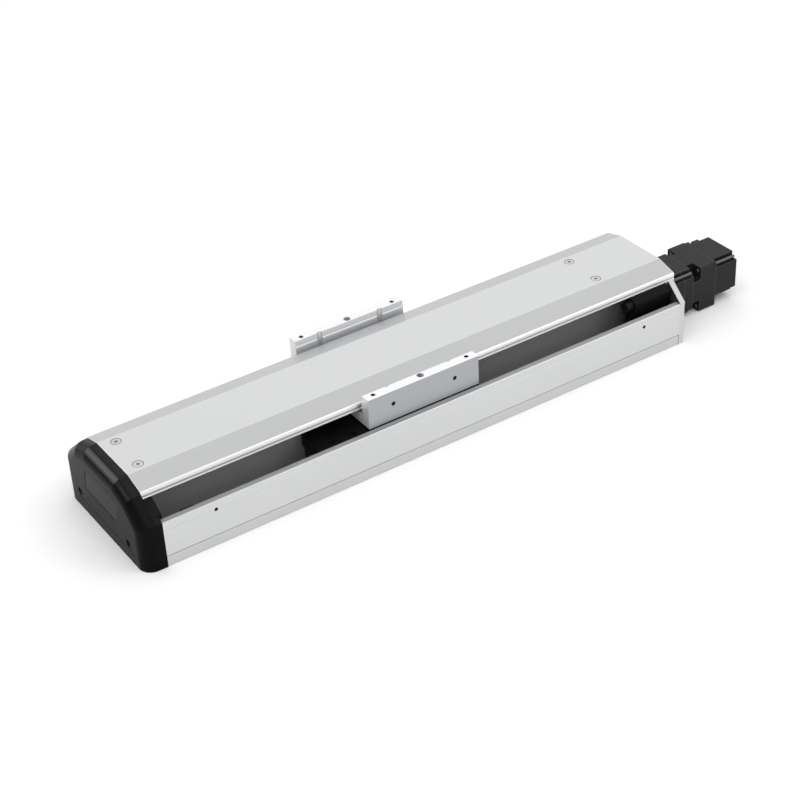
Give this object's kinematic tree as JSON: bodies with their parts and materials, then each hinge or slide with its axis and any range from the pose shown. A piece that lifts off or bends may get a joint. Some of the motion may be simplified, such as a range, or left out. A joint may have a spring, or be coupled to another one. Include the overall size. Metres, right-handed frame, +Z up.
{
  "type": "ball screw linear module",
  "caption": "Covered ball screw linear module with an end-mounted servo motor and a carriage whose two ears rise through the slots beside the cover.",
  "frame": {"origin": "on the flat underside of the base, midway between the outer ends of the two housings", "axes": "+X along the module to the motor, +Z up from the mounting face, +Y to the far side"},
  "size_m": [0.8221, 0.175, 0.0918],
  "materials": {
    "silver_anodised": "fine satin, clear anodised",
    "black_anodised": "satin, black anodised",
    "guard_grey": "satin",
    "rail_steel": "ground",
    "bright_steel": "ground",
    "black_steel": "black oxide",
    "gloss_black_moulding": "gloss",
    "bare_panel": "satin",
    "black_plastic": "matt",
    "bumper_rubber": "matt",
    "motor_black": "satin powder coat",
    "encoder_black": "satin",
    "brass": "machined",
    "hub_aluminium": "machined",
    "spider_red": "matt"
  },
  "bodies": {
    "base": {"base_profile": "silver_anodised", "near_rail": "rail_steel", "far_rail": "rail_steel", "rail_screws": "black_steel", "top_cover": "silver_anodised", "cover_screws": "black_steel", "end_cap": "gloss_black_moulding", "end_cap_panel": "bare_panel", "end_cap_screws": "black_steel", "idle_housing": "black_anodised", "idle_bearing": "bright_steel", "stop_posts": "bright_steel", "idle_bumpers": "bumper_rubber", "bearing_housing": "black_anodised", "fixed_bearings": "bright_steel", "bearing_retainer": "black_steel", "retainer_screws": "black_steel", "drive_bumpers": "bumper_rubber", "housing_screws": "black_steel", "near_guard": "guard_grey", "far_guard": "guard_grey", "guard_screws": "black_steel", "end_plate": "silver_anodised", "end_plate_screws": "black_steel", "motor_adapter": "motor_black", "adapter_screws": "black_steel", "motor_flange": "motor_black", "motor_body": "motor_black", "motor_screws": "black_steel", "encoder_cover": "encoder_black", "encoder_cover_screws": "black_steel", "power_socket": "black_plastic", "encoder_socket": "black_plastic"},
    "carriage": {"carriage": "silver_anodised", "near_riser": "black_anodised", "far_riser": "black_anodised", "riser_screws": "black_steel", "near_front_block": "rail_steel", "near_rear_block": "rail_steel", "far_front_block": "rail_steel", "far_rear_block": "rail_steel", "block_caps": "black_plastic", "block_screws": "black_steel", "ball_nut": "rail_steel", "nut_caps": "black_plastic", "nut_screws": "black_steel", "grease_nipples": "brass"},
    "screw": {"ball_screw": "bright_steel", "idle_bearing_inner": "bright_steel", "fixed_bearing_inners": "bright_steel", "retaining_ring": "black_steel", "lock_nut": "black_steel", "screw_hub": "hub_aluminium", "coupling_spider": "spider_red", "motor_hub": "hub_aluminium", "hub_screws": "black_steel", "motor_shaft": "bright_steel"}
  },
  "joints": [
    {"name": "carriage_slide", "type": "slide", "parent": "base", "child": "carriage", "axis": [1, 0, 0], "range_m": [-0.14, 0.21]},
    {"name": "screw_spin", "type": "hinge", "parent": "base", "child": "screw", "pos_m": [0, -0.018, 0.0305], "axis": [1, 0, 0], "continuous": true}
  ],
  "couplings": [
    {"joint": "screw_spin", "follows": "carriage_slide", "rad_per_m": -392.7}
  ]
}
